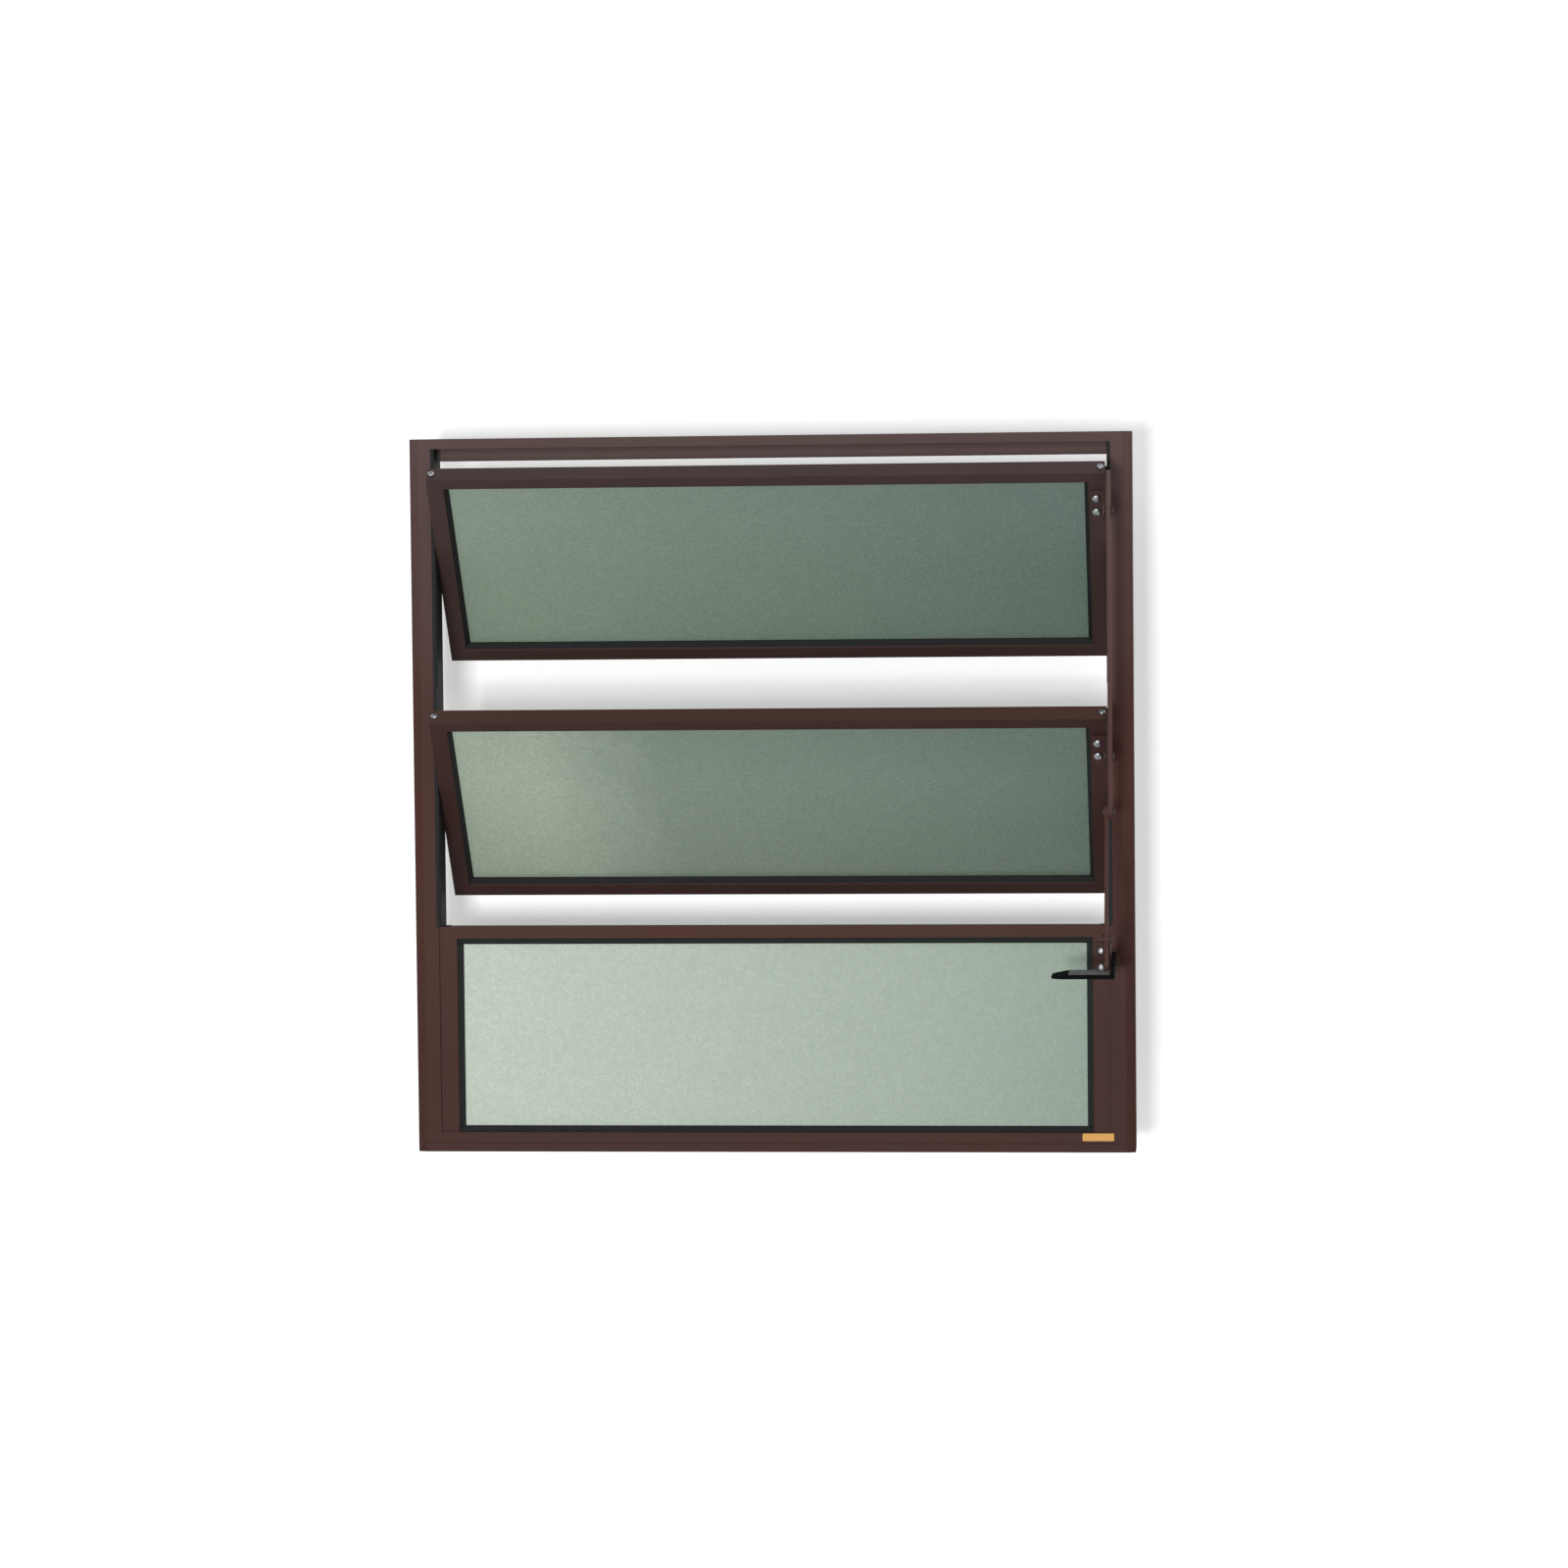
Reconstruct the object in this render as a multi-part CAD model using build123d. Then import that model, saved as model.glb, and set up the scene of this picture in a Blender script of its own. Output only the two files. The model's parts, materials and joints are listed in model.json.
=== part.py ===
from build123d import *
import math
import os

# Horizontal pivot window: two tilting sashes over a fixed pane, worked together by a bar and a lever.
# Millimetres. X runs to the right, Y into the wall and Z up.
# The origin is the middle of the sill's flat underside. The room side is at -Y.

# Outer frame
frame_width = 600.0
frame_height = 595.6
frame_depth = 40.0
wall = 1.4
jamb_width = 19.8
jamb_edge_width = 7.5
jamb_bevel_width = 5.0
jamb_bevel_depth = 1.2
jamb_nose_radius = 2.0
head_height = 8.3
head_fin_drop = 10.1
head_fin_gap = 2.5
head_fin_clearance = 0.4
sill_height = 16.4
sill_slope_start = 22.0
sill_slope_drop = 3.2
sill_groove_height = 7.5
sill_groove_width = 1.0
sill_groove_depth = 0.6

# Fixed panel below the transom
panel_setback = 2.0
panel_depth = 16.0
transom_top = 188.5
transom_face = 9.6
fixed_stile_face = 14.8
fixed_glass_recess = 4.2
fixed_gasket_show = 5.1

# Sashes: two of equal height fill the opening, apart from these gaps
open_angle = 39.0
head_gap = 2.4
row_gap = 4.7
transom_gap = 1.5
sash_side_gap = 1.4
sash_depth = 16.0
pivot_depth = 11.0
pivot_above_bottom = 117.6
top_rail_face = 9.5
bottom_rail_face = 11.9
sash_stile_face = 13.6
sash_glass_recess = 6.2
sash_gasket_show = 3.4
weather_lip_drop = 8.0
weather_lip_gap = 1.0
weather_lip_start = 7.0
rail_bevel = 0.9

# Glass and gaskets
glass_thickness = 5.0
lip_depth = 4.4
short_lip_depth = 3.6
gasket_base = 1.0
gasket_edge = 0.8

# Rubber seals on the jambs
seal_thickness = 0.9
seal_thin = 0.6
seal_bead_width = 1.8
seal_bead_height = 0.8
seal_step_setback = 18.0
seal_rear_setback = 36.0
seal_foot_length = 8.5
seal_foot_height = 0.5
seal_hole_margin = 0.5

# Sash pivots
pivot_pin_radius = 2.5
pivot_pin_reach = 9.5
pivot_pin_head_radius = 5.0
pivot_pin_head_length = 2.0
running_clearance = 0.05
bush_radius = 3.5
bush_stand_out = 0.5

# Arm brackets, their pins and the actuating bar
plate_thickness = 2.0
bracket_top_drop = 16.9
bracket_length = 31.0
bracket_plate_inset = 1.5
bracket_flange_inset = 1.9
arm_pin_reach = 20.0
arm_pin_drop = 23.1
arm_eye_radius = 6.0
arm_pin_radius = 2.5
arm_pin_head_radius = 3.6
arm_pin_head_length = 1.8
shoulder_radius = 3.8
shoulder_length = 1.0
bar_side_gap = 0.1
bar_thickness = 3.4
bar_half_width = 6.0
bar_overrun_top = 33.0
bar_overrun_bottom = 45.0
open_pivot_clearance = 0.3

# Lower link, lever and base bracket
link_thickness = 2.9
link_overrun = 20.4
lever_pivot_reach = 20.0
lever_pivot_drop = 27.1
crank_thickness = 1.5
lever_thickness = 3.6
lever_eye_radius = 8.0
blade_length = 51.4
blade_reach = 72.3
blade_depth = 45.0
blade_drop = 5.1
blade_taper_length = 14.0
blade_tip_thickness = 1.0
blade_tip_radius = 11.0
blade_heel_radius = 5.0
base_plate_half_height = 13.0

# Places worked out from the sizes above
half_width = frame_width / 2
front = -frame_depth / 2
back = frame_depth / 2
jamb_inner = half_width - jamb_width
edge_inner = half_width - jamb_edge_width
head_bottom = frame_height - head_height
panel_front = front + panel_setback
panel_back = panel_front + panel_depth
pivot_y = panel_front + pivot_depth
opening_height = head_bottom - transom_top
sash_height = (opening_height - head_gap - row_gap - transom_gap) / 2
sash_bottom = -pivot_above_bottom
sash_top = sash_height - pivot_above_bottom
lower_pivot_height = transom_top + transom_gap + pivot_above_bottom
upper_pivot_height = lower_pivot_height + sash_height + row_gap
sash_half_width = jamb_inner - sash_side_gap
sash_front = -pivot_depth
sash_back = sash_depth - pivot_depth
bracket_flange_x = sash_half_width - bracket_flange_inset
sash_bore_radius = pivot_pin_radius + running_clearance
moving_bore_radius = arm_pin_radius + running_clearance
open_bore_radius = arm_pin_radius + open_pivot_clearance
bar_x = bracket_flange_x + plate_thickness + shoulder_length + bar_side_gap
link_x = bar_x - link_thickness
crank_x = bar_x + bar_side_gap
lever_x = crank_x + crank_thickness

axis_y = Vector(0, 1, 0)


def rect(a0, a1, b0, b1):
    """A filled rectangle from its two pairs of limits."""
    return Pos((a0 + a1) / 2, (b0 + b1) / 2) * Rectangle(a1 - a0, b1 - b0)


def outline(*points):
    """A filled outline through the points given."""
    return make_face(Polyline(*points, close=True))


def profile(section, inward, centre, length):
    """A straight profile. Its section is drawn as (inward from the outer face, depth along Y)."""
    inward = Vector(*inward)
    along = inward.cross(axis_y)
    start = Vector(*centre) - along * (length / 2)
    return extrude(Plane(origin=start, x_dir=inward, z_dir=along) * section, amount=length)


def along_x(section, x0, x1):
    """A section drawn as (Y, Z), drawn out from x0 to x1."""
    return Pos(x0, 0, 0) * extrude(Plane.YZ * section, amount=x1 - x0)


def disc_x(x0, x1, y, z, radius):
    """A round piece with its axis along X."""
    return along_x(Pos(y, z) * Circle(radius), x0, x1)


def strap(p, q, radius):
    """The outline of a flat link with round ends at p and q."""
    ends = (Pos(*p) * Circle(radius)).edges() + (Pos(*q) * Circle(radius)).edges()
    return make_hull(ends)


def channel_section(face, lip, front_y, back_y):
    """A hollow member with an open glazing channel along its inner side."""
    inner_front = front_y + wall
    inner_back = back_y - wall
    section = rect(0, face, front_y, back_y)
    section -= rect(face - lip, face, inner_front, inner_back)
    return section - rect(wall, face - lip - wall, inner_front, inner_back)


def gasket_section(face, lip, show, front_y, back_y, glass_front):
    """The rubber channel round a glass edge, sloping from the metal lips down to the glass."""
    floor = face - lip
    tip = face + show
    glass_back = glass_front + glass_thickness
    return outline(
        (floor, front_y + wall),
        (face, front_y + wall),
        (tip, glass_front - gasket_edge),
        (tip, glass_front),
        (floor + gasket_base, glass_front),
        (floor + gasket_base, glass_back),
        (tip, glass_back),
        (tip, glass_back + gasket_edge),
        (face, back_y - wall),
        (floor, back_y - wall),
    )


def head_envelope(margin=0.0):
    return along_x(rect(front, back, head_bottom, frame_height + margin), -edge_inner, edge_inner)


def sill_outline(drop=0.0):
    """The sill's outer section, with a fall to the outside at its back."""
    return outline(
        (front, -drop),
        (back, -drop),
        (back, sill_height - sill_slope_drop),
        (front + sill_slope_start, sill_height),
        (front, sill_height),
    )


def head():
    body = head_envelope()
    chamber = rect(front + wall, back - wall, head_bottom + wall, frame_height - wall)
    body -= along_x(chamber, -edge_inner, edge_inner)
    fin_front = panel_back + head_fin_gap
    fin_half = jamb_inner - seal_thickness - head_fin_clearance
    fin = rect(fin_front, fin_front + wall, head_bottom - head_fin_drop, head_bottom)
    return body + along_x(fin, -fin_half, fin_half)


def sill():
    section = sill_outline()
    channel_floor = sill_height - lip_depth
    section -= rect(panel_front + wall, panel_back - wall, channel_floor, sill_height)
    section -= rect(front + wall, back - wall, wall, channel_floor - wall)
    groove_low = sill_groove_height - sill_groove_width / 2
    section -= rect(front, front + sill_groove_depth, groove_low, groove_low + sill_groove_width)
    return along_x(section, -edge_inner, edge_inner)


def jamb(side):
    """A jamb. Its outer edge runs past the ends of the head and the sill."""
    nose_x = half_width - jamb_edge_width + jamb_bevel_width
    section = outline(
        (jamb_inner, front),
        (edge_inner, front),
        (nose_x, front + jamb_bevel_depth),
        (half_width, front + jamb_bevel_depth + jamb_nose_radius),
        (half_width, back),
        (jamb_inner, back),
    )
    section -= rect(
        jamb_inner + wall,
        half_width - wall,
        front + jamb_bevel_depth + jamb_nose_radius,
        back - wall,
    )
    body = extrude(section, amount=frame_height)
    body -= head_envelope(margin=wall)
    body -= along_x(sill_outline(drop=wall), -edge_inner, edge_inner)
    for height in (upper_pivot_height, lower_pivot_height):
        body -= disc_x(jamb_inner - wall, jamb_inner + wall, pivot_y, height, pivot_pin_radius)
    return body if side > 0 else mirror(body, about=Plane.YZ)


def jamb_seal(side):
    """A stepped rubber strip on the jamb's inner face, with a front bead and a foot on the transom."""
    inner = jamb_inner - seal_thickness
    bead_front = front - seal_bead_height
    step_y = front + seal_step_setback
    section = rect(inner, jamb_inner, bead_front, step_y)
    section += rect(jamb_inner, jamb_inner + seal_bead_width, bead_front, front)
    section += rect(jamb_inner - seal_thin, jamb_inner, step_y, front + seal_rear_setback)
    body = Pos(0, 0, transom_top) * extrude(section, amount=head_bottom - transom_top)
    foot = rect(panel_front + wall, panel_back - wall, transom_top, transom_top + seal_foot_height)
    body += along_x(foot, jamb_inner - seal_foot_length, jamb_inner)
    for height in (upper_pivot_height, lower_pivot_height):
        body -= disc_x(inner, jamb_inner, pivot_y, height, bush_radius + seal_hole_margin)
    return body if side > 0 else mirror(body, about=Plane.YZ)


def transom():
    section = channel_section(transom_face, short_lip_depth, panel_front, panel_back)
    return profile(section, (0, 0, -1), (0, 0, transom_top), 2 * jamb_inner)


def fixed_stile(side):
    section = channel_section(fixed_stile_face, lip_depth, panel_front, panel_back)
    top = transom_top - transom_face
    middle = (top + sill_height) / 2
    body = profile(section, (-side, 0, 0), (side * jamb_inner, 0, middle), top - sill_height)
    return body


def fixed_glass():
    glass_front = panel_front + fixed_glass_recess
    half = jamb_inner - fixed_stile_face + lip_depth - gasket_base
    low = sill_height - lip_depth + gasket_base
    high = transom_top - transom_face + short_lip_depth - gasket_base
    return along_x(rect(glass_front, glass_front + glass_thickness, low, high), -half, half)


def fixed_gasket(face, lip):
    glass_front = panel_front + fixed_glass_recess
    return gasket_section(face, lip, fixed_gasket_show, panel_front, panel_back, glass_front)


def fixed_gasket_rails():
    length = 2 * (jamb_inner - fixed_stile_face)
    upper = profile(fixed_gasket(transom_face, short_lip_depth), (0, 0, -1), (0, 0, transom_top), length)
    lower = profile(fixed_gasket(lip_depth, lip_depth), (0, 0, 1), (0, 0, sill_height - lip_depth), length)
    return Compound([upper, lower])


def fixed_gasket_sides():
    top = transom_top - transom_face - fixed_gasket_show
    bottom = sill_height + fixed_gasket_show
    section = fixed_gasket(fixed_stile_face, lip_depth)
    middle = (top + bottom) / 2
    strips = [
        profile(section, (-side, 0, 0), (side * jamb_inner, 0, middle), top - bottom)
        for side in (-1, 1)
    ]
    return Compound(strips)


def pivot_pins(height):
    """The two fixed pins that carry a sash, one in each jamb."""
    pins = []
    for side in (-1, 1):
        inner = jamb_inner - pivot_pin_reach
        body = disc_x(inner, jamb_inner + wall, pivot_y, height, pivot_pin_radius)
        head_end = jamb_inner + wall + pivot_pin_head_length
        body += disc_x(jamb_inner + wall, head_end, pivot_y, height, pivot_pin_head_radius)
        pins.append(body if side > 0 else mirror(body, about=Plane.YZ))
    return Compound(pins)


def place_sash(shape, pivot_height):
    """Moves a piece from the sash's own axes, with the pivot at zero, to the open sash."""
    return Pos(0, pivot_y, pivot_height) * Rot(open_angle, 0, 0) * shape


def sash_top_rail():
    section = channel_section(top_rail_face, short_lip_depth, sash_front, sash_back)
    return profile(section, (0, 0, -1), (0, 0, sash_top), 2 * sash_half_width)


def sash_bottom_rail():
    """The bottom rail, with a bevelled front lip and a weather lip that hangs down behind."""
    section = channel_section(bottom_rail_face, lip_depth, sash_front, sash_back)
    section -= outline(
        (bottom_rail_face, sash_front),
        (bottom_rail_face - rail_bevel, sash_front),
        (bottom_rail_face, sash_front + rail_bevel),
    )
    lip_front = sash_back + weather_lip_gap
    section += rect(0, wall, sash_back, lip_front)
    section += rect(weather_lip_start - wall, weather_lip_start, sash_back, lip_front)
    section += rect(-weather_lip_drop, weather_lip_start, lip_front, lip_front + wall)
    length = 2 * (sash_half_width - sash_stile_face)
    return profile(section, (0, 0, 1), (0, 0, sash_bottom), length)


def sash_stile(side):
    section = channel_section(sash_stile_face, lip_depth, sash_front, sash_back)
    top = sash_top - top_rail_face
    middle = (top + sash_bottom) / 2
    body = profile(section, (-side, 0, 0), (side * sash_half_width, 0, middle), top - sash_bottom)
    near = side * (sash_half_width - sash_stile_face + lip_depth)
    far = side * sash_half_width
    return body - disc_x(min(near, far), max(near, far), 0, 0, bush_radius)


def sash_glass():
    glass_front = sash_front + sash_glass_recess
    half = sash_half_width - sash_stile_face + lip_depth - gasket_base
    low = sash_bottom + bottom_rail_face - lip_depth + gasket_base
    high = sash_top - top_rail_face + short_lip_depth - gasket_base
    return along_x(rect(glass_front, glass_front + glass_thickness, low, high), -half, half)


def sash_gasket(face, lip):
    glass_front = sash_front + sash_glass_recess
    return gasket_section(face, lip, sash_gasket_show, sash_front, sash_back, glass_front)


def sash_gasket_rails():
    length = 2 * (sash_half_width - sash_stile_face)
    upper = profile(sash_gasket(top_rail_face, short_lip_depth), (0, 0, -1), (0, 0, sash_top), length)
    lower = profile(sash_gasket(bottom_rail_face, lip_depth), (0, 0, 1), (0, 0, sash_bottom), length)
    return Compound([upper, lower])


def sash_gasket_sides():
    top = sash_top - top_rail_face - sash_gasket_show
    bottom = sash_bottom + bottom_rail_face + sash_gasket_show
    section = sash_gasket(sash_stile_face, lip_depth)
    middle = (top + bottom) / 2
    strips = [
        profile(section, (-side, 0, 0), (side * sash_half_width, 0, middle), top - bottom)
        for side in (-1, 1)
    ]
    return Compound(strips)


def pivot_bushes():
    """The bushes in the stiles that turn on the pivot pins."""
    bushes = []
    inner = sash_half_width - sash_stile_face + lip_depth + wall
    for side in (-1, 1):
        outer = sash_half_width + bush_stand_out
        body = disc_x(inner, outer, 0, 0, bush_radius) - disc_x(inner, outer, 0, 0, sash_bore_radius)
        bushes.append(body if side > 0 else mirror(body, about=Plane.YZ))
    return Compound(bushes)


def arm_pin_place():
    """The arm pin's centre in the sash's own (Y, Z)."""
    return (sash_front - arm_pin_reach, sash_top - arm_pin_drop)


def arm_bracket():
    """An angle on the right stile: a plate riveted to its face and an eye that stands out from it."""
    plate_front = sash_front - plate_thickness
    plate_x = sash_half_width - sash_stile_face + bracket_plate_inset
    flange_end = bracket_flange_x + plate_thickness
    plate_top = sash_top - bracket_top_drop
    plate = rect(plate_front, sash_front, plate_top - bracket_length, plate_top)
    eye = Pos(*arm_pin_place()) * Circle(arm_eye_radius)
    flange = make_hull(plate.edges() + eye.edges())
    flange -= Pos(*arm_pin_place()) * Circle(arm_pin_radius)
    return along_x(plate, plate_x, flange_end) + along_x(flange, bracket_flange_x, flange_end)


def shouldered_pin(place, far):
    """A pin fixed in a flange, with a shoulder before the moving link and a head past it."""
    y, z = place
    flange_end = bracket_flange_x + plate_thickness
    body = disc_x(bracket_flange_x, far + 2 * bar_side_gap, y, z, arm_pin_radius)
    body += disc_x(flange_end, flange_end + shoulder_length, y, z, shoulder_radius)
    head_start = far + bar_side_gap
    return body + disc_x(head_start, head_start + arm_pin_head_length, y, z, arm_pin_head_radius)


def opened(place, pivot_height):
    """A point of the sash's own (Y, Z), moved to where it lies on the open sash."""
    turn = math.radians(open_angle)
    y, z = place
    return (
        pivot_y + y * math.cos(turn) - z * math.sin(turn),
        pivot_height + y * math.sin(turn) + z * math.cos(turn),
    )


def lever_pivot_place():
    return (front - lever_pivot_reach, transom_top - lever_pivot_drop)


def lever_pin_place():
    """The lever's crank is the same as the crank from a sash's pivot to its arm pin."""
    y, z = opened(arm_pin_place(), 0.0)
    pivot = lever_pivot_place()
    return (pivot[0] + y - pivot_y, pivot[1] + z)


def bar_joint_place():
    """The rivet that joins the bar and the lower link."""
    y, z = opened(arm_pin_place(), lower_pivot_height)
    return (y, z - bar_overrun_bottom)


def actuating_bar():
    upper = opened(arm_pin_place(), upper_pivot_height)
    lower = opened(arm_pin_place(), lower_pivot_height)
    foot = bar_joint_place()
    shape = strap((upper[0], upper[1] + bar_overrun_top - bar_half_width), foot, bar_half_width)
    shape -= Pos(*upper) * Circle(moving_bore_radius)
    shape -= Pos(*lower) * Circle(open_bore_radius)
    shape -= Pos(*foot) * Circle(arm_pin_radius)
    return along_x(shape, bar_x, bar_x + bar_thickness)


def lower_link():
    """The link from the bar to the lever, with a tail that runs on past the lever's pin."""
    joint = Vector(*bar_joint_place(), 0)
    pin = Vector(*lever_pin_place(), 0)
    tail = pin + (pin - joint).normalized() * link_overrun
    shape = strap(bar_joint_place(), (tail.X, tail.Y), bar_half_width)
    shape -= Pos(*bar_joint_place()) * Circle(arm_pin_radius)
    shape -= Pos(*lever_pin_place()) * Circle(open_bore_radius)
    return along_x(shape, link_x, bar_x)


def link_rivet():
    y, z = bar_joint_place()
    bar_end = bar_x + bar_thickness
    body = disc_x(link_x, bar_end, y, z, arm_pin_radius)
    body += disc_x(link_x - arm_pin_head_length, link_x, y, z, arm_pin_head_radius)
    return body + disc_x(bar_end, bar_end + arm_pin_head_length, y, z, arm_pin_head_radius)


def lever_crank():
    """The flat arm from the lever's pivot to the pin that carries the lower link."""
    shape = strap(lever_pivot_place(), lever_pin_place(), bar_half_width)
    shape -= Pos(*lever_pivot_place()) * Circle(moving_bore_radius)
    shape -= Pos(*lever_pin_place()) * Circle(arm_pin_radius)
    return along_x(shape, crank_x, lever_x)


def lever_blade(top, low):
    """The thumb blade, with rounded corners at its free end, where it also gets thinner."""
    pivot_reach = lever_pivot_place()[0]
    lever_end = lever_x + lever_thickness
    tip = lever_end - blade_length
    blade_front = pivot_reach - blade_reach
    plan = rect(tip, lever_end, blade_front, blade_front + blade_depth)
    plan = fillet(plan.vertices().group_by(Axis.X)[0].sort_by(Axis.Y)[0], blade_tip_radius)
    plan = fillet(plan.vertices().group_by(Axis.X)[0].sort_by(Axis.Y)[-1], blade_heel_radius)
    blade = extrude(Pos(0, 0, low) * plan, amount=top - low)
    taper = outline((tip, low + blade_tip_thickness), (tip + blade_taper_length, top), (tip, top))
    return blade - extrude(Plane.XZ.offset(-blade_front) * taper, amount=-blade_depth)


def lever():
    """The bent handle: a leg that hangs on the pivot and a blade that runs to the left from its foot."""
    pivot = lever_pivot_place()
    top = pivot[1] - blade_drop
    low = top - lever_thickness
    blade_front = pivot[0] - blade_reach
    foot = rect(blade_front, blade_front + blade_depth, low, top)
    eye = Pos(*pivot) * Circle(lever_eye_radius)
    leg = make_hull(foot.edges() + eye.edges())
    leg -= Pos(*pivot) * Circle(moving_bore_radius)
    return along_x(leg, lever_x, lever_x + lever_thickness) + lever_blade(top, low)


def lever_pin():
    """The rivet that joins the crank to the lower link."""
    y, z = lever_pin_place()
    head_end = link_x - bar_side_gap
    body = disc_x(head_end, lever_x, y, z, arm_pin_radius)
    body += disc_x(head_end - arm_pin_head_length, head_end, y, z, arm_pin_head_radius)
    return body + disc_x(lever_x, lever_x + arm_pin_head_length, y, z, arm_pin_head_radius)


def lever_base_bracket():
    """An angle screwed to the right fixed stile, with the lever's pivot in its flange."""
    plate_x = jamb_inner - fixed_stile_face + bracket_plate_inset
    flange_end = bracket_flange_x + plate_thickness
    height = lever_pivot_place()[1]
    plate_front = panel_front - plate_thickness
    low = height - base_plate_half_height
    plate = rect(plate_front, panel_front, low, height + base_plate_half_height)
    eye = Pos(*lever_pivot_place()) * Circle(arm_eye_radius)
    flange = make_hull(plate.edges() + eye.edges())
    flange -= Pos(*lever_pivot_place()) * Circle(arm_pin_radius)
    return along_x(plate, plate_x, flange_end) + along_x(flange, bracket_flange_x, flange_end)


def fixed_pieces():
    return {
        "head": head(),
        "sill": sill(),
        "jamb_left": jamb(-1),
        "jamb_right": jamb(1),
        "jamb_seals": Compound([jamb_seal(-1), jamb_seal(1)]),
        "transom": transom(),
        "fixed_stile_left": fixed_stile(-1),
        "fixed_stile_right": fixed_stile(1),
        "fixed_glass": fixed_glass(),
        "fixed_gasket_rails": fixed_gasket_rails(),
        "fixed_gasket_sides": fixed_gasket_sides(),
        "upper_pivot_pins": pivot_pins(upper_pivot_height),
        "lower_pivot_pins": pivot_pins(lower_pivot_height),
        "lever_base_bracket": lever_base_bracket(),
        "lever_pivot_pin": shouldered_pin(lever_pivot_place(), lever_x + lever_thickness),
    }


def sash_pieces():
    """One sash in its own axes, with the pivot at zero and the glass upright."""
    return {
        "top_rail": sash_top_rail(),
        "bottom_rail": sash_bottom_rail(),
        "stile_left": sash_stile(-1),
        "stile_right": sash_stile(1),
        "glass": sash_glass(),
        "gasket_rails": sash_gasket_rails(),
        "gasket_sides": sash_gasket_sides(),
        "pivot_bushes": pivot_bushes(),
        "arm_bracket": arm_bracket(),
        "arm_pin": shouldered_pin(arm_pin_place(), bar_x + bar_thickness),
    }


def linkage_pieces():
    return {
        "actuating_bar": actuating_bar(),
        "lower_link": lower_link(),
        "link_rivet": link_rivet(),
        "lever_crank": lever_crank(),
        "lever": lever(),
        "lever_pin": lever_pin(),
    }


def all_pieces():
    pieces = fixed_pieces()
    for name, shape in sash_pieces().items():
        pieces["upper_sash_" + name] = place_sash(shape, upper_pivot_height)
        pieces["lower_sash_" + name] = place_sash(shape, lower_pivot_height)
    pieces.update(linkage_pieces())
    return pieces


os.makedirs("parts", exist_ok=True)
for node, piece in all_pieces().items():
    export_step(piece, f"parts/{node}.step")
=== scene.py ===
import json
import math

import bmesh
import bpy
from mathutils import Matrix, Vector


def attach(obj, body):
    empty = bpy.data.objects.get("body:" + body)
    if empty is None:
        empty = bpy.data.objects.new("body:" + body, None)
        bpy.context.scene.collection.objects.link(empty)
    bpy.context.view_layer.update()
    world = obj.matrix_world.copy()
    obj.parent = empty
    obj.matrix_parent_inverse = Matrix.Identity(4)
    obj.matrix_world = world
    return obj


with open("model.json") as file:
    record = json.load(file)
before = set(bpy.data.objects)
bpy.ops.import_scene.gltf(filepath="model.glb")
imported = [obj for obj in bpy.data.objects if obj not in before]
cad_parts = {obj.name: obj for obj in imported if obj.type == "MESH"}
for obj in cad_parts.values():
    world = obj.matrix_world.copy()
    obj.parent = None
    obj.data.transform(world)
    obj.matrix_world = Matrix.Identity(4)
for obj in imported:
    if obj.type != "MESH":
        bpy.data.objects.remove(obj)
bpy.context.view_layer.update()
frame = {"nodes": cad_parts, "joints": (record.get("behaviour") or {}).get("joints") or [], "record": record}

# A small aluminium window: two sashes tilt on level pivots over a fixed pane, worked by a bar and a
# lever. Metres. X runs to the right, Y into the wall and Z up.

nodes = frame["nodes"]
joints = {joint["name"]: joint for joint in frame["joints"]}
mm = 0.001

# Places on the frame and on the sashes, as the model has them
frame_front = -20.0 * mm
panel_front = -18.0 * mm
plate_thickness = 2.0 * mm
fin_top = 585.8 * mm
upper_pane_middle = 491.8 * mm
lower_pane_middle = 292.0 * mm
sash_half_width = 278.8 * mm
sash_top = 77.5 * mm
sash_bottom = -117.6 * mm
sash_front = -11.0 * mm
sash_depth = 16.0 * mm
open_angle = math.radians(-joints["upper_sash_pivot"]["range_deg"][0])

# Rivets, screws, drain slots and the label
rivet_radius = 3.7 * mm
rivet_height = 2.3 * mm
rivet_rim = 0.25 * rivet_height
rivet_x = 271.4 * mm
rivet_drops = (24.5 * mm, 38.3 * mm)
rail_screw_radius = 2.8 * mm
rail_screw_inset = 3.6 * mm
base_screw_x = 272.4 * mm
base_screw_radius = 2.7 * mm
base_screw_heights = (167.7 * mm, 154.4 * mm)
screw_height = 2.0 * mm
screw_rim = 0.45 * screw_height
cross_width = 0.8 * mm
cross_length = 3.2 * mm
cross_depth = 1.3 * mm
cross_taper = 0.55
weep_slot_length = 6.5 * mm
weep_slot_height = 1.3 * mm
weep_slot_corner = 0.49 * weep_slot_height
weep_slot_thickness = 0.06 * mm
weep_slot_above_bottom = 4.4 * mm
weep_slot_places = (("left", -236.0 * mm), ("right", 262.0 * mm))
label_low = (256.0 * mm, 9.6 * mm)
label_high = (282.0 * mm, 16.0 * mm)
label_thickness = 0.25 * mm
label_corner = 0.8 * mm
label_round = 0.1 * mm

# Lips on the jambs' inner faces that a sash closes against: in front of it below its pivot, and
# behind it above its pivot
jamb_inner = 280.2 * mm
front_lip_edge = 278.4 * mm
front_lip_depths = (-19.8 * mm, -18.5 * mm)
front_lip_rise = (-118.5 * mm, -8.0 * mm)
rear_lip_edge = 277.5 * mm
rear_lip_depths = (-1.0 * mm, 0.6 * mm)
rear_lip_rise = (8.0 * mm, 60.0 * mm)

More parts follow.
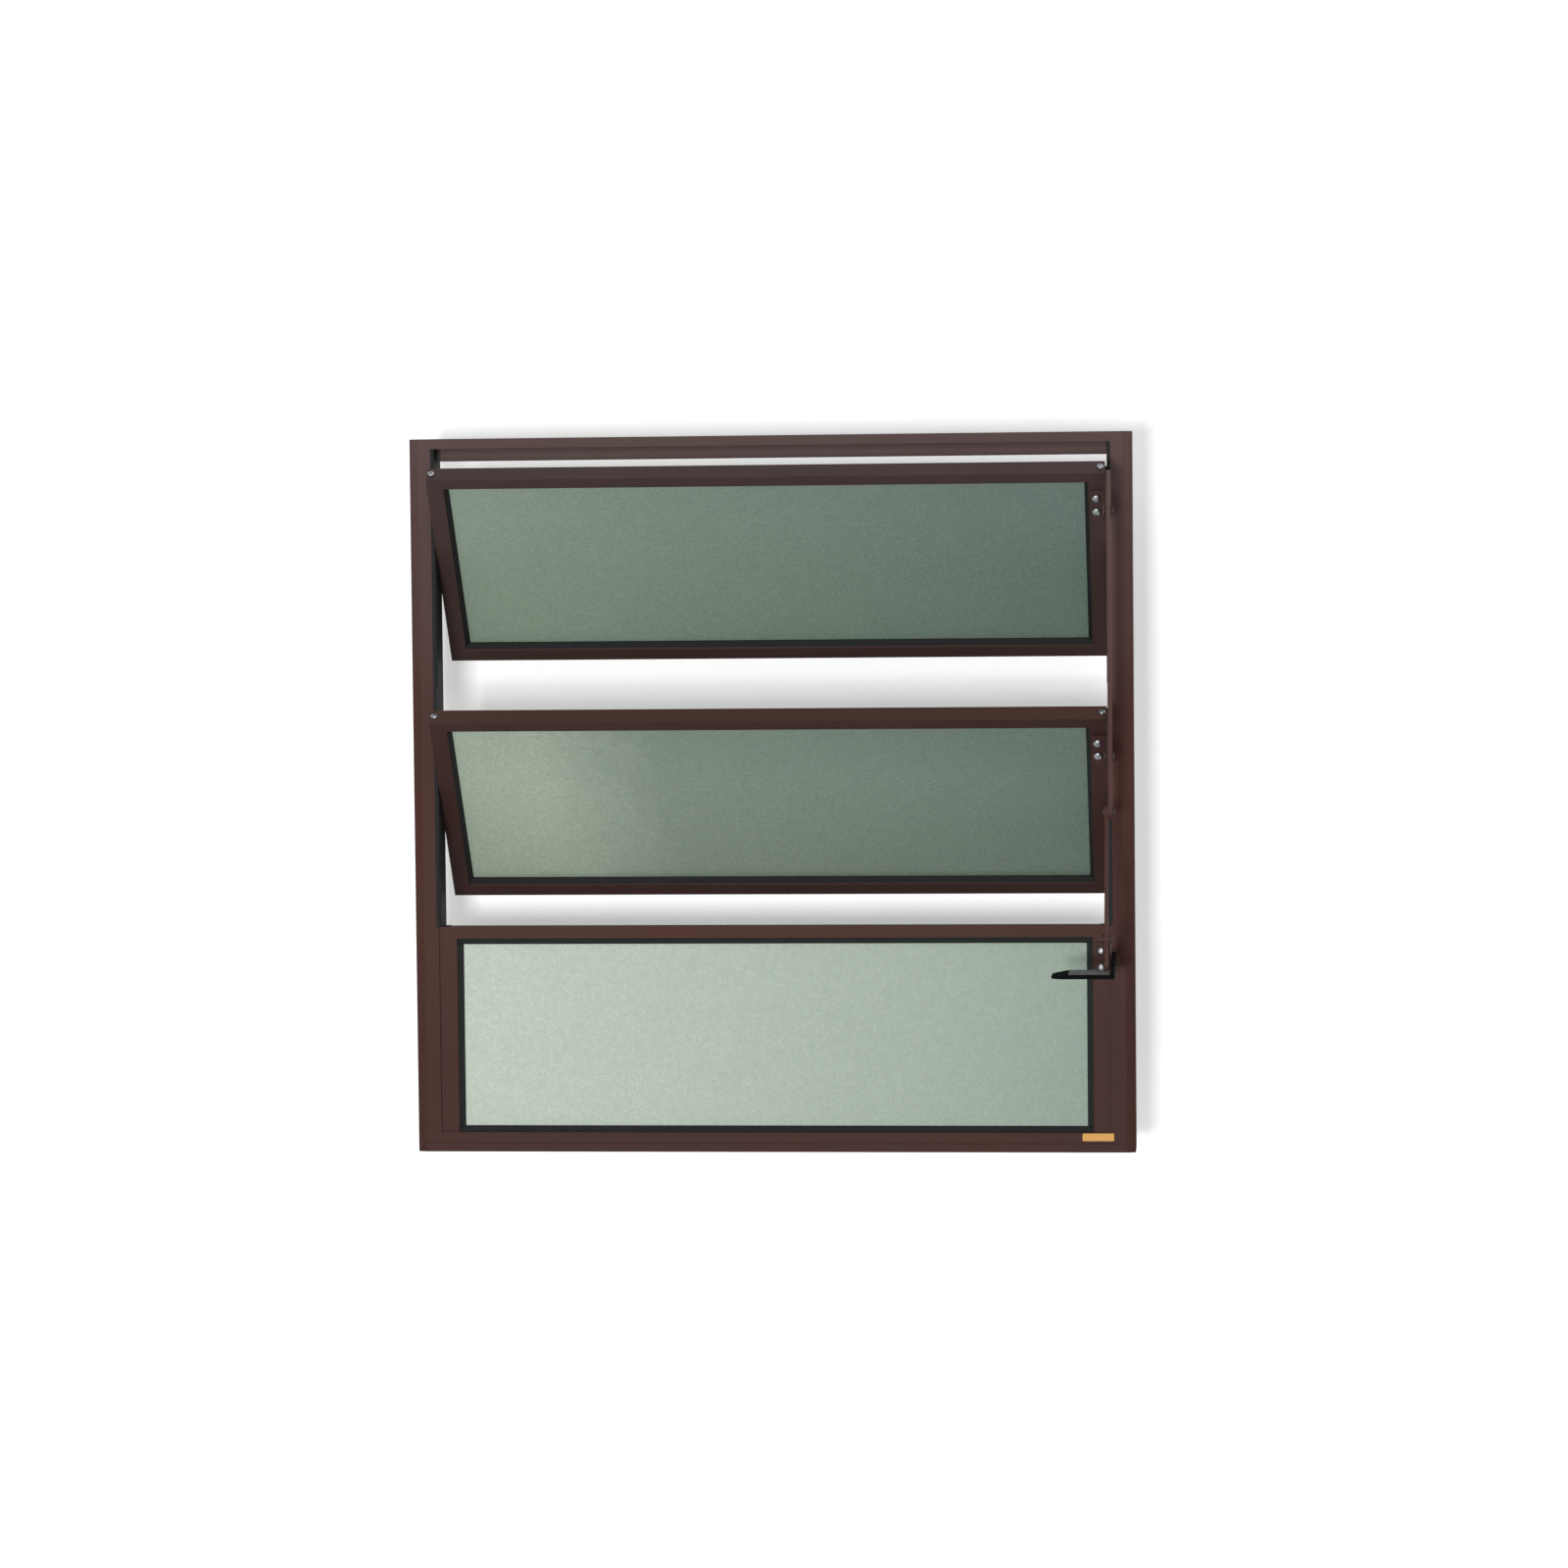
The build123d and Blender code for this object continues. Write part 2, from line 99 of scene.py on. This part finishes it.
# How round the edges of each material's pieces are, and the least bend that counts as an edge
edge_rounds = {
    "frame_bronze": 0.45 * mm,
    "sash_bronze": 0.4 * mm,
    "bracket_bronze": 0.35 * mm,
    "bar_bronze": 0.4 * mm,
    "black_lever": 0.6 * mm,
    "brown_rivet": 0.5 * mm,
    "textured_glass": 0.4 * mm,
    "black_rubber": 0.25 * mm,
}
least_bend = math.radians(32)


class Socket:
    """A node's output in a Python expression: 1 - mask adds the Math node for it."""

    def __init__(self, tree, out=None):
        self.tree = tree
        self.out = out

    def node(self, kind, inputs=None, settings=None, out=0):
        """Adds a node of that kind, sets it up, fills its inputs, and gives one of its outputs."""
        made = self.tree.nodes.new("ShaderNode" + kind)
        for name, value in (settings or {}).items():
            if name == "stops":
                ramp = made.color_ramp.elements
                while len(ramp) < len(value):
                    ramp.new(0.5)
                for stop, (place, shade) in zip(ramp, value):
                    stop.position = place
                    stop.color = (shade, shade, shade, 1.0)
            else:
                setattr(made, name, value)
        for name, value in (inputs or {}).items():
            if isinstance(value, Socket):
                self.tree.links.new(value.out, made.inputs[name])
            else:
                made.inputs[name].default_value = value
        return Socket(self.tree, made.outputs[out])

    def math(self, operation, *values):
        return self.node("Math", dict(enumerate(values)), {"operation": operation})

    def __add__(self, other):
        return self.math("ADD", self, other)

    def __radd__(self, other):
        return self.math("ADD", other, self)

    def __sub__(self, other):
        return self.math("SUBTRACT", self, other)

    def __rsub__(self, other):
        return self.math("SUBTRACT", other, self)

    def __mul__(self, other):
        return self.math("MULTIPLY", self, other)

    def __rmul__(self, other):
        return self.math("MULTIPLY", other, self)


def new_material(name):
    """An empty material and the expression root for its tree."""
    material = bpy.data.materials.new(name)
    material.use_nodes = True
    material.node_tree.nodes.clear()
    return material, Socket(material.node_tree)


def output(root, shader, kind="Material"):
    """Ends the tree with a surface shader."""
    made = root.tree.nodes.new("ShaderNodeOutput" + kind)
    root.tree.links.new(shader.out, made.inputs["Surface"])


def rgba(colour):
    return (*colour, 1.0)


def scaled(colour, factor, lift=0.0):
    return tuple(factor * channel + lift for channel in colour)


def blend_colours(root, amount, first, second, blend="MIX"):
    """Colour first going over to second by amount. Either may be a colour or a socket.

    Inputs 6 and 7 and output 2 are the Mix node's sockets for colours.
    """
    first = first if isinstance(first, Socket) else rgba(first)
    second = second if isinstance(second, Socket) else rgba(second)
    settings = {"data_type": "RGBA", "blend_type": blend}
    return root.node("Mix", {0: amount, 6: first, 7: second}, settings, out=2)


def noise(root, place, scale, detail=2.0, roughness=0.5, out=0):
    inputs = {"Vector": place, "Scale": scale, "Detail": detail, "Roughness": roughness}
    return root.node("TexNoise", inputs, out=out)


def steps(root, value, *stops):
    """Value mapped through grey stops given as (place, shade)."""
    return root.node("ValToRGB", {"Fac": value}, {"stops": stops})


def bumps(root, height, strength, distance):
    return root.node("Bump", {"Strength": strength, "Distance": distance, "Height": height})


def object_place(root):
    return root.node("TexCoord", out="Object")


def along(root, axis, vector):
    """One of a vector's three numbers, by the axis it lies along."""
    return root.node("SeparateXYZ", {"Vector": vector}, out=axis)


def facing_up(root):
    """1 where a face is level and looks up, 0 where it is upright."""
    return along(root, "Z", root.node("TexCoord", out="Normal"))


def powder_coat(name, colour, pale, top_sheen, sheen_heights=(0.38, 0.62), top_face_light=None, fin=None):
    """Satin powder coat on aluminium, with dusty speckle and a fine orange peel.

    Its tone varies broadly from colour to pale, is darker at the window's foot, and goes over to the
    greyer third tone between the two given heights, a painted sheen from light above. Faces that look
    up take the next colour as painted light, and below the top of the head's fin the last colour lifts
    the fin out of the shade of its recess as painted light.
    """
    material, root = new_material(name)
    place = object_place(root)
    height = along(root, "Z", place)
    broad = noise(root, place, scale=9.0, detail=3.0)
    speckle = noise(root, place, scale=900.0, roughness=0.7)
    peel = noise(root, place, scale=1400.0)
    tone = blend_colours(root, steps(root, broad, (0.35, 0.0), (0.7, 1.0)), colour, pale)
    black = (0.0, 0.0, 0.0)
    foot = steps(root, height, (0.08, 0.22), (0.2, 0.0))
    tone = blend_colours(root, foot, tone, black)
    # Painted sheen: the coat greys towards the top, as if lit from above
    wear_and_sheen = steps(root, height + 0.06 * broad, (sheen_heights[0], 0.0), (sheen_heights[1], 1.0))
    tone = blend_colours(root, wear_and_sheen, tone, top_sheen)
    # Painted light: faces that look up are lightened, except where the painted sheen already greys them
    if top_face_light:
        level = steps(root, facing_up(root), (0.70, 0.0), (0.77, 1.0))
        tone = blend_colours(root, level * (1 - wear_and_sheen) * (0.8 + 0.4 * broad), tone, top_face_light)
    # Painted light: the head's fin is lifted out of the shade under the head's lip
    if fin:
        on_fin = steps(root, height, (fin_top - 0.4 * mm, 1.0), (fin_top, 0.0))
        tone = blend_colours(root, on_fin, tone, fin)
    dust_and_top_light = steps(root, speckle, (0.55, 0.0), (0.75, 0.35))
    output(root, root.node("BsdfPrincipled", {
        "Base Color": blend_colours(root, dust_and_top_light, tone, scaled(pale, 1.4, lift=0.002)),
        "Roughness": 0.6 + 0.16 * (broad - 0.5) + 0.1 * (speckle - 0.5),
        "Specular IOR Level": 0.16,
        "Normal": bumps(root, peel, strength=0.5, distance=0.03 * mm),
    }))
    return material


def rubber(name, colour):
    """Matt glazing rubber with dusty patches and a fine grain."""
    material, root = new_material(name)
    place = object_place(root)
    dust_and_top_light = noise(root, place, scale=60.0, detail=6.0, roughness=0.65)
    fine = noise(root, place, scale=2200.0)
    dusty = steps(root, dust_and_top_light, (0.4, 0.0), (0.85, 1.0))
    output(root, root.node("BsdfPrincipled", {
        "Base Color": blend_colours(root, dusty, colour, scaled(colour, 1.7)),
        "Roughness": 0.68 + 0.2 * (dust_and_top_light - 0.5),
        "Specular IOR Level": 0.18,
        "Normal": bumps(root, fine, strength=0.4, distance=0.03 * mm),
    }))
    return material


def plated_steel(name, colour=(0.42, 0.43, 0.45)):
    """Zinc plating with dull spots and a fine grain."""
    material, root = new_material(name)
    place = object_place(root)
    patch = noise(root, place, scale=700.0, detail=4.0, roughness=0.6)
    fine = noise(root, place, scale=4000.0)
    dull = steps(root, patch, (0.3, 0.0), (0.75, 1.0))
    output(root, root.node("BsdfPrincipled", {
        "Base Color": blend_colours(root, dull, colour, scaled(colour, 0.62)),
        "Metallic": 1.0,
        "Roughness": 0.34 + 0.25 * (patch - 0.4),
        "Normal": bumps(root, fine, strength=0.25, distance=0.02 * mm),
    }))
    return material


def plain_coat(name, colour, rough, wear=1.6, dust_and_top_light=1.0, shine=0.5):
    """A smooth coat with slight wear and a fine grain.

    Worn spots are wear times as light as the colour. Faces that look up are made lighter, in a mottle,
    by the factor that follows wear: painted light from above.
    """
    material, root = new_material(name)
    place = object_place(root)
    patch = noise(root, place, scale=160.0, detail=5.0, roughness=0.6)
    fine = noise(root, place, scale=2600.0)
    wear_and_sheen = steps(root, patch, (0.45, 0.0), (0.8, 1.0))
    tone = blend_colours(root, wear_and_sheen, colour, scaled(colour, wear))
    # Painted light from above on faces that look up, mottled like dust
    top_light_mottle = steps(root, facing_up(root), (0.985, 0.0), (0.997, 1.0)) * (0.75 + 0.5 * patch)
    output(root, root.node("BsdfPrincipled", {
        "Base Color": blend_colours(root, top_light_mottle, tone, scaled(colour, dust_and_top_light)),
        "Roughness": rough + 0.2 * (patch - 0.5),
        "Specular IOR Level": shine,
        "Normal": bumps(root, fine, strength=0.3, distance=0.02 * mm),
    }))
    return material


def obscure_glass(name, near, far, fall=((0.0, 0.0), (1.0, 1.0)), middle=0.0, lean=0.0):
    """Sage green obscure glass with a fine grain, mottle and faint cloudiness.

    Its tone goes from near at the left to far at the right by the stops in fall, and further towards
    far by lean for each metre above middle. The fall from left to right is painted light, lit from the left.
    """
    material, root = new_material(name)
    place = object_place(root)
    across = along(root, "X", place) * (1 / (2 * sash_half_width)) + 0.5
    level = along(root, "Z", place) - middle
    cloud = noise(root, place, scale=11.0, detail=4.0, roughness=0.6)
    ragged = noise(root, place, scale=120.0, detail=4.0, roughness=0.7)
    mottle = noise(root, place, scale=260.0, detail=3.0, roughness=0.7)
    grain = noise(root, place, scale=680.0, detail=4.0, roughness=0.75)
    speckle = noise(root, place, scale=480.0, out="Color")
    wander = 0.13 * (cloud - 0.5) + 0.12 * (ragged - 0.5)
    # Painted light: lighter at the left where light falls, darker to the right, and moved by lean with
    # height
    distance = steps(root, across + wander, *fall) + lean * level
    tone = blend_colours(root, distance, near, far)
    speckle_share = 0.16
    tone = blend_colours(root, speckle_share, tone, speckle, "SOFT_LIGHT")
    hollow_shade = (0.66, 0.68, 0.68)
    dark = blend_colours(root, 1.0, tone, hollow_shade, "MULTIPLY")
    hollows = steps(root, grain, (0.38, 1.0), (0.6, 0.0))
    tone = blend_colours(root, hollows, tone, dark)
    spots = 0.5 * steps(root, mottle, (0.38, 1.0), (0.58, 0.0))
    tone = blend_colours(root, spots, tone, dark)
    output(root, root.node("BsdfPrincipled", {
        "Base Color": tone,
        "Roughness": 0.45 + 0.3 * (grain - 0.5),
        "IOR": 1.5,
        "Transmission Weight": 0.3,
        "Normal": bumps(root, grain, strength=0.6, distance=0.12 * mm),
    }))
    return material


# Each powder coat's colour, its paler tone, and the greyer one painted towards the top as sheen
frame_tones = ((0.049, 0.0168, 0.0122), (0.060, 0.0212, 0.0158), (0.078, 0.0480, 0.0450))
sash_tones = ((0.030, 0.0120, 0.0100), (0.038, 0.0160, 0.0136), (0.043, 0.0255, 0.0232))
bracket_tones = ((0.038, 0.0160, 0.0135), (0.048, 0.0210, 0.0175), (0.050, 0.0300, 0.0270))
bar_tones = ((0.056, 0.0220, 0.0175), (0.070, 0.0290, 0.0235), (0.076, 0.0480, 0.0440))

finishes = {
    "frame_bronze": powder_coat("frame_coat", *frame_tones),
    "sash_bronze": powder_coat("sash_coat", *sash_tones, sheen_heights=(0.38, 0.5),
                               top_face_light=(0.064, 0.0295, 0.0225)),
    "bracket_bronze": powder_coat("bracket_coat", *bracket_tones),
    "bar_bronze": powder_coat("bar_coat", *bar_tones),
    # The lever's grey top is painted light from above
    "black_lever": plain_coat("lever_black", (0.003, 0.003, 0.003), rough=0.7, dust_and_top_light=60.0, shine=0.03),
    "brown_rivet": plain_coat("brown_rivet_coat", (0.028, 0.0115, 0.0095), rough=0.55, shine=0.3),
    "steel_pin": plated_steel("pivot_steel"),
    "nylon": plain_coat("bush_nylon", (0.022, 0.022, 0.023), rough=0.5),
    "black_rubber": rubber("gasket_rubber", (0.0090, 0.0100, 0.0100)),
    "textured_glass": obscure_glass("upper_pane_glass", (0.365, 0.465, 0.355), (0.19, 0.265, 0.225),
                                    middle=upper_pane_middle, lean=2.4),
}

# Nodes that don't look like the rest of their material
own_finish = {
    # The head's fin is painted lighter, against the shade of its recess
    "head": powder_coat("head_coat", *frame_tones, fin=(0.115, 0.0715, 0.067)),
    "lower_sash_glass": obscure_glass("lower_pane_glass", (0.505, 0.60, 0.47), (0.18, 0.25, 0.20),
                                      fall=((0.15, 0.0), (0.34, 0.64), (1.0, 1.0)),
                                      middle=lower_pane_middle, lean=1.6),
    "fixed_glass": obscure_glass("fixed_pane_glass", (0.57, 0.66, 0.545), (0.258, 0.357, 0.272)),
}

zinc = plated_steel("screw_zinc")
painted_slot_shadow = plain_coat("slot_shadow", (0.008, 0.007, 0.007), rough=0.7)
label_gold = plain_coat("label_gold", (0.60, 0.32, 0.095), rough=0.65, wear=0.8, shine=0.15)


def round_edges(piece, width):
    soft = piece.modifiers.new("edge_round", "BEVEL")
    soft.width = width
    soft.segments = 2
    soft.limit_method = "ANGLE"
    soft.angle_limit = least_bend


def dress_node(name, slot):
    """Gives a node of the model its finish and softens its edges."""
    part = nodes[name]
    part.data.materials.clear()
    part.data.materials.append(own_finish.get(name, finishes[slot]))
    if slot in edge_rounds:
        round_edges(part, edge_rounds[slot])


def sash_axes(joint_name, x, up, depth, turn=0.0):
    """A place in a sash's own axes, with its Z turned to face out of the surface there."""
    pivot = Matrix.Translation(Vector(joints[joint_name]["pos_m"]))
    tilt = Matrix.Rotation(open_angle, 4, "X")
    spot = Matrix.Translation(Vector((x, depth, up)))
    return pivot @ tilt @ spot @ Matrix.Rotation(turn, 4, "X")


def frame_axes(x, y, z):
    """A place on the frame's room side, with Z towards the room."""
    return Matrix.Translation(Vector((x, y, z))) @ Matrix.Rotation(math.radians(90), 4, "X")


def add_piece(name, mesh, place, material, body, smooth=True):
    """Makes a piece of a mesh with the given material. It rides on a body."""
    data = bpy.data.meshes.new(name)
    bmesh.ops.recalc_face_normals(mesh, faces=mesh.faces)
    mesh.to_mesh(data)
    mesh.free()
    for polygon in data.polygons:
        polygon.use_smooth = smooth
    data.materials.append(material)
    piece = bpy.data.objects.new(name, data)
    bpy.context.scene.collection.objects.link(piece)
    piece.matrix_world = place
    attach(piece, body)
    return piece


def turned_mesh(outline, sides=32):
    """A closed turned form. Its outline is (radius, height) from the bottom centre to the top centre."""
    mesh = bmesh.new()
    rings = []
    for radius, height in outline:
        ring = []
        for i in range(sides if radius > 0 else 1):
            turn = 2 * math.pi * i / sides
            ring.append(mesh.verts.new((radius * math.cos(turn), radius * math.sin(turn), height)))
        rings.append(ring)
    for low, high in zip(rings, rings[1:]):
        for i in range(sides):
            j = (i + 1) % sides
            corners = (low[i % len(low)], low[j % len(low)], high[j % len(high)], high[i % len(high)])
            mesh.faces.new(list(dict.fromkeys(corners)))
    return mesh


def dome_outline(radius, height, rim):
    """A domed head: an underside a little smaller than the head, a short upright rim, a round crown."""
    underside = 0.96 * radius
    rim_foot = 0.4 * rim
    crown_steps = 8
    outline = [(0.0, 0.0), (underside, 0.0), (radius, rim_foot), (radius, rim)]
    for i in range(1, crown_steps):
        turn = math.pi / 2 * i / crown_steps
        outline.append((radius * math.cos(turn), rim + (height - rim) * math.sin(turn)))
    return outline + [(0.0, height)]


def prism_mesh(outline, low, high):
    """An outline of (x, y) points pulled up from one height to another."""
    mesh = bmesh.new()
    foot = [mesh.verts.new((x, y, low)) for x, y in outline]
    top = [mesh.verts.new((x, y, high)) for x, y in outline]
    mesh.faces.new(foot)
    mesh.faces.new(top)
    for i in range(len(outline)):
        j = (i + 1) % len(outline)
        mesh.faces.new((foot[i], foot[j], top[j], top[i]))
    return mesh


def rounded_plate(width, height, thickness, corner):
    """A flat plate with round corners, centred, lying in X and Y with its face at Z = thickness."""
    outline = []
    arc_steps = 6
    for turn, sx, sy in ((0, 1, 1), (90, -1, 1), (180, -1, -1), (270, 1, -1)):
        for i in range(arc_steps + 1):
            angle = math.radians(turn + 90 * i / arc_steps)
            x = sx * (width / 2 - corner) + corner * math.cos(angle)
            y = sy * (height / 2 - corner) + corner * math.sin(angle)
            outline.append((x, y))
    return prism_mesh(outline, 0.0, thickness)


def recess_blade(name, length, width, place):
    """One bar of a screw's cross recess, narrower at its bottom, to cut the head with."""
    mesh = bmesh.new()
    bmesh.ops.create_cube(mesh, size=1.0)
    for vert in mesh.verts:
        taper = cross_taper if vert.co.z < 0 else 1.0
        x, y, z = vert.co
        vert.co = (x * length * taper, y * width * taper, z * 2 * cross_depth + screw_height)
    data = bpy.data.meshes.new(name)
    mesh.to_mesh(data)
    mesh.free()
    blade = bpy.data.objects.new(name, data)
    bpy.context.scene.collection.objects.link(blade)
    blade.matrix_world = place
    return blade


def cross_screw(name, place, body, radius, turn):
    """A pan head screw with a cross recess cut into its crown."""
    head = turned_mesh(dome_outline(radius, screw_height, screw_rim), sides=40)
    piece = add_piece(name, head, place @ Matrix.Rotation(turn, 4, "Z"), zinc, body)
    blades = []
    for length, width in ((cross_length, cross_width), (cross_width, cross_length)):
        blade = recess_blade(name + "_recess", length, width, piece.matrix_world)
        cut = piece.modifiers.new("recess", "BOOLEAN")
        cut.object = blade
        cut.operation = "DIFFERENCE"
        cut.solver = "EXACT"
        blades.append(blade)
    bpy.context.view_layer.update()
    with_cuts = piece.evaluated_get(bpy.context.evaluated_depsgraph_get())
    piece.data = bpy.data.meshes.new_from_object(with_cuts)
    piece.modifiers.clear()
    for blade in blades:
        bpy.data.objects.remove(blade)


def domed_rivet(name, place, body):
    mesh = turned_mesh(dome_outline(rivet_radius, rivet_height, rivet_rim))
    add_piece(name, mesh, place, zinc, body)


def weep_slot(name, joint_name, body, x):
    """The mouth of a drain slot in a bottom rail, drawn as a thin dark sheet of painted shadow."""
    mesh = rounded_plate(weep_slot_length, weep_slot_height, weep_slot_thickness, weep_slot_corner)
    up = sash_bottom + weep_slot_above_bottom
    place = sash_axes(joint_name, x, up, sash_front, math.radians(90))
    add_piece(name, mesh, place, painted_slot_shadow, body, smooth=False)


def stop_strip(name, side, slot, edge, depths, heights):
    """An upright strip on a jamb's inner face, chamfered along its edge."""
    front, back = depths
    chamfer = 0.3 * (back - front)
    outline = ((jamb_inner, front), (jamb_inner, back), (edge + chamfer, back), (edge, back - chamfer),
               (edge, front + chamfer), (edge + chamfer, front))
    mesh = prism_mesh([(side * x, y) for x, y in outline], *heights)
    add_piece(name, mesh, Matrix.Identity(4), finishes[slot], "frame", smooth=False)


def blank_label():
    """The small label on the sill's face, left blank."""
    width, height = (high - low for low, high in zip(label_low, label_high))
    x, z = ((low + high) / 2 for low, high in zip(label_low, label_high))
    mesh = rounded_plate(width, height, label_thickness, label_corner)
    place = frame_axes(x, frame_front, z)
    piece = add_piece("sill_label", mesh, place, label_gold, "frame", smooth=False)
    round_edges(piece, label_round)


for subpart in frame["record"]["subparts"]:
    dress_node(subpart["node"], subpart["material_slot"])

left_and_right = (("left", -1), ("right", 1))
bracket_face = sash_front - plate_thickness

for body in ("upper_sash", "lower_sash"):
    joint_name = body + "_pivot"
    for number, drop in enumerate(rivet_drops, 1):
        place = sash_axes(joint_name, rivet_x, sash_top - drop, bracket_face, math.radians(90))
        domed_rivet(f"{body}_bracket_rivet_{number}", place, body)
    for side, sign in left_and_right:
        x = sign * (sash_half_width - rail_screw_inset)
        place = sash_axes(joint_name, x, sash_top, sash_front + 0.5 * sash_depth)
        name = f"{body}_rail_screw_{side}"
        cross_screw(name, place, body, rail_screw_radius, turn=0.5 + 0.7 * sign)
    for side, x in weep_slot_places:
        weep_slot(f"{body}_weep_slot_{side}", joint_name, body, x)

for number, height in enumerate(base_screw_heights, 1):
    place = frame_axes(base_screw_x, panel_front - plate_thickness, height)
    cross_screw(f"base_screw_{number}", place, "frame", base_screw_radius, turn=0.3 * number)

for row in ("upper", "lower"):
    pivot_height = joints[row + "_sash_pivot"]["pos_m"][2]
    front_heights = [pivot_height + rise for rise in front_lip_rise]
    rear_heights = [pivot_height + rise for rise in rear_lip_rise]
    for side, sign in left_and_right:
        stop_strip(f"{row}_front_lip_{side}", sign, "black_rubber", front_lip_edge, front_lip_depths,
                   front_heights)
        stop_strip(f"{row}_rear_lip_{side}", sign, "frame_bronze", rear_lip_edge, rear_lip_depths,
                   rear_heights)

blank_label()


def studio_white(name, shade, glow):
    """A pale matt sheet that is clear from behind and casts no shadow.

    Seen directly, in a gloss or through glass, it also glows a little.
    """
    material, root = new_material(name)
    direct, glossy, through_glass, shadow = (
        root.node("LightPath", out=f"Is {kind} Ray")
        for kind in ("Camera", "Glossy", "Transmission", "Shadow")
    )
    seen = root.math("MINIMUM", direct + glossy + through_glass, 1.0)
    matt = root.node("BsdfDiffuse", {"Color": rgba((shade, shade, shade))})
    lit = root.node("Emission", {"Color": rgba((1.0, 1.0, 1.0)), "Strength": glow})
    glowing = root.node("AddShader", {0: matt, 1: lit})
    face = root.node("MixShader", {0: seen, 1: matt, 2: glowing})
    through = root.math("MAXIMUM", root.node("NewGeometry", out="Backfacing"), shadow)
    clear = root.node("BsdfTransparent")
    output(root, root.node("MixShader", {0: through, 1: face, 2: clear}))
    return material


def studio_sheet(name, corners, material):
    data = bpy.data.meshes.new(name)
    data.from_pydata(corners, [], [tuple(range(len(corners)))])
    data.materials.append(material)
    sheet = bpy.data.objects.new(name, data)
    bpy.context.scene.collection.objects.link(sheet)


def softbox(name, place, target, width, height, power):
    """A rectangular lamp at a place, turned to its target."""
    data = bpy.data.lights.new(name, "AREA")
    data.shape = "RECTANGLE"
    data.size = width
    data.size_y = height
    data.energy = power
    lamp = bpy.data.objects.new(name, data)
    bpy.context.scene.collection.objects.link(lamp)
    lamp.location = place
    lamp.rotation_euler = (Vector(target) - Vector(place)).to_track_quat("-Z", "Y").to_euler()


def studio_air(lighting, seen):
    """White surroundings, with one strength as light and another where the camera sees them."""
    world = bpy.data.worlds.new("studio_air")
    bpy.context.scene.world = world
    world.use_nodes = True
    world.node_tree.nodes.clear()
    root = Socket(world.node_tree)
    white = rgba((1.0, 1.0, 1.0))
    light = root.node("Background", {"Color": white, "Strength": lighting})
    view = root.node("Background", {"Color": white, "Strength": seen})
    direct = root.node("LightPath", out="Is Camera Ray")
    output(root, root.node("MixShader", {0: direct, 1: light, 2: view}), "World")


def photo_camera(place, yaw, pitch, roll, focal_pixels, image_pixels, sensor=36.0):
    """The camera, from its place, its angles in radians and its focal length in the photo's pixels."""
    ahead = Vector((-math.sin(yaw) * math.cos(pitch), math.cos(yaw) * math.cos(pitch), math.sin(pitch)))
    across = Vector((math.cos(yaw), math.sin(yaw), 0.0))
    upward = across.cross(ahead)
    right = across * math.cos(roll) + upward * math.sin(roll)
    up = upward * math.cos(roll) - across * math.sin(roll)
    data = bpy.data.cameras.new("camera")
    data.sensor_width = sensor
    data.lens = focal_pixels / image_pixels * sensor
    data.clip_end = 50.0
    camera = bpy.data.objects.new("camera", data)
    bpy.context.scene.collection.objects.link(camera)
    turn = Matrix((right, up, -ahead)).transposed().to_4x4()
    camera.matrix_world = Matrix.Translation(Vector(place)) @ turn
    bpy.context.scene.camera = camera


# The studio: a backdrop close behind the window, a floor well below it, and three lamps
backdrop_y = 0.09
floor_z = -0.46
reach = 4.0
corners = ((-reach, -reach), (reach, -reach), (reach, reach), (-reach, reach))
backdrop_white = studio_white("backdrop_white", shade=0.82, glow=0.34)
floor_white = studio_white("floor_white", shade=0.82, glow=0.2)
studio_sheet("backdrop", [(x, backdrop_y, z) for x, z in corners], backdrop_white)
studio_sheet("floor", [(x, y, floor_z) for x, y in corners], floor_white)

centre = (0.0, 0.0, 0.3)
softbox("key_low_left", (-0.85, -7.0, -0.16), centre, width=1.2, height=1.2, power=300.0)
softbox("top_soft", (0.2, -1.6, 2.6), centre, width=2.4, height=1.6, power=25.0)
softbox("back_soft", (0.0, 2.6, 2.2), centre, width=2.4, height=1.6, power=40.0)
studio_air(lighting=0.3, seen=1.0)

# The photograph's viewing angle, from its corners and rows
photo_camera(
    (0.371623, -3.96118, 0.515523),
    yaw=math.radians(5.232),
    pitch=math.radians(-3.017),
    roll=math.radians(-0.574),
    focal_pixels=4877.147,
    image_pixels=1600.0,
)
bpy.context.scene.view_settings.view_transform = "Standard"
